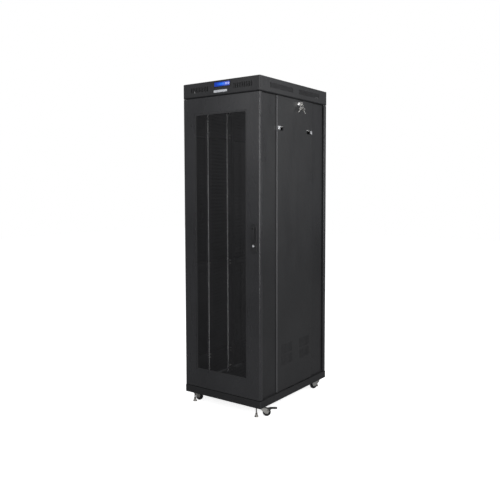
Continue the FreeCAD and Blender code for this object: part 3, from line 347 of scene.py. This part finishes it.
def perforated_sheet(name, low, high, pitch, hole, border, first_row, rows):
    """A band of a sheet with hexagonal holes in staggered rows, upright across the cabinet. hole is across flats.
    The whole sheet runs from low to high. This band has rows of its holes from first_row, and takes in the sheet's
    lower or upper border where it reaches it."""
    row_h = pitch * math.sqrt(3) / 2
    columns = int((high.x - low.x - 2 * border) / pitch)
    total_rows = int((high.z - low.z - 2 * border) / row_h)
    x0 = (low.x + high.x - columns * pitch) / 2
    z0 = (low.z + high.z - total_rows * row_h) / 2
    last_row = min(first_row + rows, total_rows)
    x_grid = [low.x] + [x0 + i * pitch / 2 for i in range(2 * columns + 1)] + [high.x]
    z_grid = [z0 + r * row_h for r in range(first_row, last_row + 1)]
    if first_row == 0:
        z_grid = [low.z] + z_grid
    if last_row == total_rows:
        z_grid = z_grid + [high.z]
    points = []
    index = {}

    def at(x, z, back):
        key = (round(x / MM, 3), round(z / MM, 3), back)
        if key not in index:
            index[key] = len(points)
            points.append((x, high.y if back else low.y, z))
        return index[key]

    faces = []
    front = []  # outlines of the front's faces, each a list of (x, z)
    walls = []
    radius = hole / math.sqrt(3)
    corner = [(radius * math.sin(math.radians(60 * k)), radius * math.cos(math.radians(60 * k))) for k in range(6)]
    hole_rows = {z0 + r * row_h: r for r in range(first_row, last_row)}
    for j in range(len(z_grid) - 1):
        za, zb = z_grid[j], z_grid[j + 1]
        row = hole_rows.get(za)
        if row is None:
            spans = [(x_grid[i], x_grid[i + 1]) for i in range(len(x_grid) - 1)]
            cells = []
        else:
            shift = row % 2
            cells = [x0 + (c + shift / 2) * pitch for c in range(columns - shift)]
            spans = [(x_grid[0], x_grid[1]), (x_grid[-2], x_grid[-1])]
            if shift:
                spans += [(x_grid[1], x_grid[2]), (x_grid[-3], x_grid[-2])]
        for xa, xb in spans:
            front.append([(xa, za), (xb, za), (xb, zb), (xa, zb)])
        for xa in cells:
            xm, xb, zm = xa + pitch / 2, xa + pitch, (za + zb) / 2
            rim = [(xm + u, zm + v) for u, v in corner]
            frame_points = [(xm, zb), (xb, zb), (xb, za), (xm, za), (xa, za), (xa, zb)]
            for k in range(6):
                n = (k + 1) % 6
                front.append([frame_points[k], frame_points[n], rim[n], rim[k]][::-1])
                walls.append((rim[k], rim[n]))
    for outline in front:
        faces.append([at(x, z, False) for x, z in outline])
        faces.append([at(x, z, True) for x, z in reversed(outline)])
    for a, b in walls:
        faces.append([at(*a, False), at(*b, False), at(*b, True), at(*a, True)])
    for i in range(len(x_grid) - 1):
        for z in (z_grid[0], z_grid[-1]):
            a, b = (x_grid[i], z), (x_grid[i + 1], z)
            faces.append([at(*a, False), at(*b, False), at(*b, True), at(*a, True)])
    for j in range(len(z_grid) - 1):
        for x in (x_grid[0], x_grid[-1]):
            a, b = (x, z_grid[j]), (x, z_grid[j + 1])
            faces.append([at(*a, False), at(*b, False), at(*b, True), at(*a, True)])
    return flat_normals_out(mesh_from(name, points, faces))


# ---------------------------------------------------------------- doors

HOLE_PITCH = 10 * MM
HOLE_SIZE = 8 * MM
MESH_BORDER = 5 * MM
MESH_BANDS = 3


def door_meshes():
    """The perforated sheet of each door, in bands that meet edge to edge."""
    for door in ("front_door", "rear_door"):
        node = door + "_mesh"
        low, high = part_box(node)
        total = int((high.z - low.z - 2 * MESH_BORDER) / (HOLE_PITCH * math.sqrt(3) / 2))
        rows = math.ceil(total / MESH_BANDS)
        for band in range(MESH_BANDS):
            name = f"{door}_perforated_{band + 1}"
            mesh = perforated_sheet(name, low, high, HOLE_PITCH, HOLE_SIZE, MESH_BORDER, band * rows, rows)
            add_piece(name, mesh, COAT_MESH, door, replaces=[node])


door_meshes()


# ---------------------------------------------------------------- display

def display_screen():
    low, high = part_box("display_window")
    points = [(x, y, z) for y in (low.y, high.y) for x in (low.x, high.x) for z in (low.z, high.z)]
    faces = [(0, 1, 3, 2), (4, 6, 7, 5), (0, 4, 5, 1), (2, 3, 7, 6), (1, 5, 7, 3), (0, 2, 6, 4)]
    mesh = mesh_from("screen", points, faces)
    bm = bmesh.new()
    bm.from_mesh(mesh)
    bmesh.ops.recalc_face_normals(bm, faces=bm.faces)
    bmesh.ops.bevel(bm, geom=bm.edges[:], offset=0.5 * MM, segments=2, affect="EDGES", profile=0.6)
    bm.to_mesh(mesh)
    bm.free()
    add_piece("display_screen", mesh, lit_screen("screen_blue", low, high), "cabinet",
              replaces=["display_window"], smooth=40)


display_screen()


# Which of the seven strokes are lit: top, upper right, lower right, foot, lower left, upper left, middle
DIGIT_STROKES = {
    "2": (1, 1, 0, 1, 1, 0, 1),
    "3": (1, 1, 1, 1, 0, 0, 1),
    "5": (1, 0, 1, 1, 0, 1, 1),
    "8": (1, 1, 1, 1, 1, 1, 1),
}


def display_digits():
    """Seven-stroke figures on the right of the screen: a temperature over a humidity, as numbers only."""
    low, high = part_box("display_window")
    y = low.y + 0.05 * MM
    width, height, stroke = 4.4 * MM, 7.6 * MM, 1.1 * MM
    mesh = bpy.data.meshes.new("digits")
    bm = bmesh.new()
    columns = [high.x - 34 * MM, high.x - 27 * MM, high.x - 17 * MM, high.x - 10 * MM]
    base = (low.z + high.z) / 2 - height / 2
    for x, figure in zip(columns, "2358"):
        lit = DIGIT_STROKES[figure]
        middle, top = base + height / 2, base + height
        bars = (
            (x, top, width, 0), (x + width, middle, height / 2, 1), (x + width, base, height / 2, 1),
            (x, base, width, 0), (x, base, height / 2, 1), (x, middle, height / 2, 1), (x, middle, width, 0),
        )
        for on, (bx, bz, length, upright) in zip(lit, bars):
            if not on:
                continue
            run = length - stroke * 0.5
            size = (stroke, stroke * 0.4, run) if upright else (run, stroke * 0.4, stroke)
            centre = (bx, y, bz + length / 2) if upright else (bx + length / 2, y, bz)
            place = Matrix.Translation(centre) @ Matrix.Diagonal((*size, 1.0))
            made = bmesh.ops.create_cube(bm, size=1.0, matrix=place)
            edges = list({e for v in made["verts"] for e in v.link_edges})
            bmesh.ops.bevel(bm, geom=edges, offset=0.12 * MM, segments=1, affect="EDGES", profile=0.5)
    bm.to_mesh(mesh)
    bm.free()
    add_piece("display_digits", mesh, lit_digit("digit_light"), "cabinet")


display_digits()


# ---------------------------------------------------------------- roof seal and rail screws

def rounded_loop(half_x, half_y, radius, z):
    """A level rectangle with rounded corners, about the cabinet's middle."""
    points = []
    inner_x, inner_y = half_x - radius, half_y - radius
    for sx, sy, first in ((1, 1, 0), (-1, 1, 90), (-1, -1, 180), (1, -1, 270)):
        for step in range(7):
            a = math.radians(first + 15 * step)
            points.append((sx * inner_x + radius * math.cos(a), sy * inner_y + radius * math.sin(a), z))
    return points


def roof_seal():
    """A rubber edge strip with a rounded lower edge, pushed on to the foot of the roof's skirt."""
    low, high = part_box("roof_cap")
    top = low.z + 1.6 * MM
    section = ((0.2, top), (0.2, low.z - 4.4 * MM), (0.7, low.z - 5.8 * MM), (1.5, low.z - 6.4 * MM),
               (2.2, low.z - 5.8 * MM), (2.7, low.z - 4.4 * MM), (2.7, top))
    loops = [rounded_loop(high.x - d * MM, high.y - d * MM, (11 - d) * MM, z) for d, z in section]
    count = len(loops[0])
    points = [p for loop in loops for p in loop]
    faces = []
    for a in range(len(loops)):
        b = (a + 1) % len(loops)
        for k in range(count):
            n = (k + 1) % count
            faces.append((a * count + k, a * count + n, b * count + n, b * count + k))
    mesh = flat_normals_out(mesh_from("roof_seal", points, faces))
    add_piece("roof_seal", mesh, TREAD, "cabinet", smooth=40)


def rail_screws():
    """Zinc screws with pressed washers near the head and foot of each rail's web."""
    for end in ("front", "rear"):
        mesh = bpy.data.meshes.new("rail_screws_" + end)
        bm = bmesh.new()
        for side in SIDES:
            sign = 1 if side == "right" else -1
            low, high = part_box(f"mounting_rail_{end}_{side}")
            face = (high.x if sign > 0 else -low.x) - 2.0 * MM
            for z in (high.z - 64 * MM, low.z + 40 * MM):
                for radius, depth, sides in ((9.0, 1.4, 28), (6.4, 5.4, 6)):
                    centre = Matrix.Translation((sign * (face - depth * MM / 2), (low.y + high.y) / 2, z))
                    turn = Matrix.Rotation(math.radians(90), 4, "Y")
                    made = bmesh.ops.create_cone(bm, cap_ends=True, segments=sides, radius1=radius * MM,
                                                 radius2=radius * MM, depth=depth * MM, matrix=centre @ turn)
                    edges = list({e for v in made["verts"] for e in v.link_edges})
                    bmesh.ops.bevel(bm, geom=edges, offset=0.3 * MM, segments=1, affect="EDGES", profile=0.5)
        bm.to_mesh(mesh)
        bm.free()
        add_piece("rail_screws_" + end, mesh, NICKEL, "cabinet", smooth=30)


roof_seal()
rail_screws()


# ---------------------------------------------------------------- filter pads behind the vents

def filter_pads():
    """A ribbed foam pad behind each group of a side panel's lower vents."""
    for side in SIDES:
        low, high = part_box("side_panel_" + side)
        sign = 1 if side == "right" else -1
        outer = (high.x if sign > 0 else low.x) - sign * 2.0 * MM
        inner = outer - sign * 3.2 * MM
        for number, (y0, y1) in enumerate(((-0.166, -0.030), (0.050, 0.186))):
            ribs = 34
            points = []
            for k in range(ribs + 1):
                y = y0 + (y1 - y0) * k / ribs
                x = outer - sign * (0.7 * MM if k % 2 else 0.0)
                points += [(x, y, 0.266), (x, y, 0.418), (inner, y, 0.266), (inner, y, 0.418)]
            faces = []
            for k in range(ribs):
                a, b = 4 * k, 4 * k + 4
                faces += [(a, b, b + 1, a + 1), (a + 2, a + 3, b + 3, b + 2),
                          (a, a + 2, b + 2, b), (a + 1, b + 1, b + 3, a + 3)]
            last = 4 * ribs
            faces += [(0, 1, 3, 2), (last, last + 2, last + 3, last + 1)]
            mesh = flat_normals_out(mesh_from(f"filter_{side}_{number}", points, faces))
            name = f"filter_pad_{side}_{number + 1}"
            add_piece(name, mesh, PAD_FOAM, "side_panel_" + side)


filter_pads()


# ---------------------------------------------------------------- casters and feet

def lathe(name, outline, steps, place):
    """A closed outline of (radius, along) turned about the Y axis of a placing matrix."""
    points = []
    for i in range(steps):
        a = 2 * math.pi * i / steps
        points += [place @ Vector((r * math.cos(a), t, r * math.sin(a))) for r, t in outline]
    n = len(outline)
    faces = []
    for i in range(steps):
        for k in range(n):
            a, b = i * n + k, i * n + (k + 1) % n
            c, d = ((i + 1) % steps) * n + (k + 1) % n, ((i + 1) % steps) * n + k
            faces.append((a, b, c, d))
    return flat_normals_out(mesh_from(name, points, faces))


def axle_place(corner):
    """The middle of a caster's wheel, with Y along its axle, from its rolling joint."""
    for joint in frame["record"]["behaviour"]["joints"]:
        if joint["name"] == "wheel_roll_" + corner:
            axle = Vector(joint["axis"]).normalized()
            turn = axle.to_track_quat("Y", "Z").to_matrix().to_4x4()
            return Matrix.Translation(joint["pos_m"]) @ turn


# Outlines of a caster's wheel: distance from the axle and along it, in millimetres
TYRE_OUTLINE = (
    (18.2, -7.2), (21.5, -8.4), (23.8, -8.0), (24.7, -5.6), (24.9, -0.9), (24.2, -0.6),
    (24.2, 0.6), (24.9, 0.9), (24.7, 5.6), (23.8, 8.0), (21.5, 8.4), (18.2, 7.2),
)
RIM_OUTLINE = (
    (4.1, -9.6), (7.4, -9.6), (8.0, -8.8), (9.0, -4.6), (14.5, -4.2), (16.6, -7.6), (18.3, -7.6),
    (18.3, 7.6), (16.6, 7.6), (14.5, 4.2), (9.0, 4.6), (8.0, 8.8), (7.4, 9.6), (4.1, 9.6),
)


def caster_wheels():
    """Each wheel as a soft tyre with a rounded tread and a groove, on a dished rim with its hub."""
    for corner in CORNERS:
        body = "caster_wheel_" + corner
        place = axle_place(corner)
        for part, outline, steps, material in (("tyre", TYRE_OUTLINE, 64, TREAD), ("rim", RIM_OUTLINE, 48, RIM_GREY)):
            mesh = lathe(part, [(r * MM, t * MM) for r, t in outline], steps, place)
            add_piece(f"{part}_{corner}", mesh, material, body, replaces=[body], smooth=32)


caster_wheels()


# ---------------------------------------------------------------- camera, light and floor

def camera():
    """Stands to the right of the front, at about shoulder height."""
    data = bpy.data.cameras.new("camera")
    data.lens = 44.12
    data.sensor_width = 36.0
    data.shift_y = -0.04
    view = bpy.data.objects.new("camera", data)
    yaw, pitch, roll = math.radians(36.0), math.radians(-3.57), math.radians(-0.14)
    turn = Matrix.Rotation(yaw, 4, "Z") @ Matrix.Rotation(math.pi / 2 + pitch, 4, "X") @ Matrix.Rotation(roll, 4, "Z")
    view.matrix_world = Matrix.Translation((2.371, -3.352, 1.371)) @ turn
    bpy.context.scene.collection.objects.link(view)
    bpy.context.scene.camera = view


def area_light(name, place, target, size, power):
    data = bpy.data.lights.new(name, "AREA")
    data.shape = "RECTANGLE"
    data.size, data.size_y = size
    data.energy = power
    light = bpy.data.objects.new(name, data)
    light.location = place
    light.rotation_mode = "QUATERNION"
    light.rotation_quaternion = (Vector(target) - Vector(place)).to_track_quat("-Z", "Y")
    bpy.context.scene.collection.objects.link(light)


def studio():
    world = bpy.data.worlds.new("studio")
    world.use_nodes = True
    tree = world.node_tree
    tree.nodes.clear()
    output = tree.nodes.new("ShaderNodeOutputWorld")
    seen = tree.nodes.new("ShaderNodeBackground")
    seen.inputs["Color"].default_value = (1.0, 1.0, 1.0, 1.0)
    seen.inputs["Strength"].default_value = 1.0
    fill = tree.nodes.new("ShaderNodeBackground")
    fill.inputs["Color"].default_value = (0.93, 0.95, 1.0, 1.0)
    fill.inputs["Strength"].default_value = 0.32
    path = tree.nodes.new("ShaderNodeLightPath")
    mix = tree.nodes.new("ShaderNodeMixShader")
    tree.links.new(path.outputs["Is Camera Ray"], mix.inputs["Fac"])
    tree.links.new(fill.outputs["Background"], mix.inputs[1])
    tree.links.new(seen.outputs["Background"], mix.inputs[2])
    tree.links.new(mix.outputs["Shader"], output.inputs["Surface"])
    bpy.context.scene.world = world

    area_light("rim", (4.4, -2.3, 1.8), (0.3, -0.3, 1.0), (0.7, 3.4), 74)
    area_light("side", (4.6, 2.6, 2.4), (0.3, 0.2, 1.0), (1.8, 3.0), 78)
    area_light("front", (-1.8, -4.8, 3.0), (0, 0, 1.0), (2.4, 2.8), 30)
    area_light("behind_camera", (3.0, -5.2, 1.6), (0, -0.2, 0.7), (2.4, 2.4), 140)
    area_light("top", (0.0, 0.0, 5.2), (0, 0, 0), (5.0, 5.0), 70)

    shader = Shader("floor", Roughness=0.7, Specular_IOR_Level=0.1, Emission_Strength=0.86)
    pale = shader.blend(shader.remap(shader.noise(1.2), 0.0, 1.0), (0.90, 0.90, 0.90), (0.92, 0.92, 0.92))
    shader.colour(pale)
    shader.links.new(pale, shader.bsdf.inputs["Emission Color"])
    # The body sees a duller floor than the camera does, so that little light comes up from below
    dull = shader.nodes.new("ShaderNodeBsdfDiffuse")
    dull.inputs["Color"].default_value = (0.30, 0.30, 0.30, 1.0)
    seen = shader.nodes.new("ShaderNodeLightPath").outputs["Is Camera Ray"]
    choice = shader.nodes.new("ShaderNodeMixShader")
    shader.links.new(seen, choice.inputs["Fac"])
    shader.links.new(dull.outputs["BSDF"], choice.inputs[1])
    shader.links.new(shader.bsdf.outputs["BSDF"], choice.inputs[2])
    output = next(n for n in shader.nodes if n.type == "OUTPUT_MATERIAL")
    shader.links.new(choice.outputs["Shader"], output.inputs["Surface"])
    half = 14.0
    outline = [(-half, -half, 0), (half, -half, 0), (half, half, 0), (-half, half, 0)]
    mesh = mesh_from("floor", outline, [(0, 1, 2, 3)])
    mesh.materials.append(shader.material)
    floor = bpy.data.objects.new("floor", mesh)
    bpy.context.scene.collection.objects.link(floor)
    bpy.context.scene.view_settings.view_transform = "Standard"


camera()
studio()
